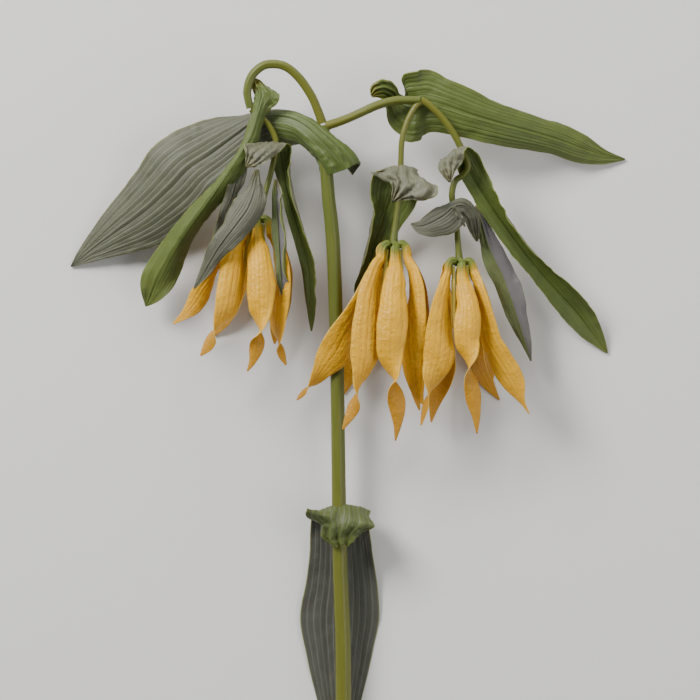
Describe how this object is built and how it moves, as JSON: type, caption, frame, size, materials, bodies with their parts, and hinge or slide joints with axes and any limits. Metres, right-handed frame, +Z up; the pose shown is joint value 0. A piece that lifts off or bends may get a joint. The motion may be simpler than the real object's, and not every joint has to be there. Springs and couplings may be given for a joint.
{
  "type": "bellwort",
  "caption": "Cut bellwort shoot lying on a surface: a forked stem, clasping leaves pierced by the stem, and drooping yellow flowers of twisted tepals.",
  "frame": {"origin": "centre of the bounding box on the surface the shoot lies on", "axes": "+Y from the cut end of the stem towards the arched top, +X to the right seen from above, +Z up, away from the surface"},
  "size_m": [0.1413, 0.1924, 0.0238],
  "materials": {
    "stem": "smooth green stem, waxy",
    "green_leaf": "soft green leaf",
    "grey_leaf": "soft grey-green leaf underside",
    "tepal": "satin golden yellow tepal",
    "stamen": "matt yellow anther",
    "pistil": "satin yellow-green"
  },
  "bodies": {
    "root": {"fork_leaf": "grey_leaf", "left_back_leaf": "grey_leaf", "left_branch": "stem", "left_front_leaf": "grey_leaf", "left_long_leaf": "green_leaf", "left_pedicel": "stem", "left_pedicel_leaf": "green_leaf", "left_pistil": "pistil", "left_side_leaf": "green_leaf", "left_stamen_1": "stamen", "left_stamen_2": "stamen", "left_stamen_3": "stamen", "left_stamen_4": "stamen", "left_stamen_5": "stamen", "left_stamen_6": "stamen", "left_tepal_1": "tepal", "left_tepal_2": "tepal", "left_tepal_3": "tepal", "left_tepal_4": "tepal", "left_tepal_5": "tepal", "left_tepal_6": "tepal", "lower_leaf": "green_leaf", "main_stem": "stem", "middle_leaf": "green_leaf", "middle_pedicel": "stem", "middle_pistil": "pistil", "middle_stamen_1": "stamen", "middle_stamen_2": "stamen", "middle_stamen_3": "stamen", "middle_stamen_4": "stamen", "middle_stamen_5": "stamen", "middle_stamen_6": "stamen", "middle_tepal_1": "tepal", "middle_tepal_2": "tepal", "middle_tepal_3": "tepal", "middle_tepal_4": "tepal", "middle_tepal_5": "tepal", "middle_tepal_6": "tepal", "right_bract_leaf": "grey_leaf", "right_branch": "stem", "right_branchlet": "stem", "right_broad_leaf": "green_leaf", "right_hanging_leaf": "grey_leaf", "right_leaf_bud": "grey_leaf", "right_long_leaf": "green_leaf", "right_pedicel": "stem", "right_pistil": "pistil", "right_stamen_1": "stamen", "right_stamen_2": "stamen", "right_stamen_3": "stamen", "right_stamen_4": "stamen", "right_stamen_5": "stamen", "right_stamen_6": "stamen", "right_tepal_1": "tepal", "right_tepal_2": "tepal", "right_tepal_3": "tepal", "right_tepal_4": "tepal", "right_tepal_5": "tepal", "right_tepal_6": "tepal"}
  },
  "joints": []
}
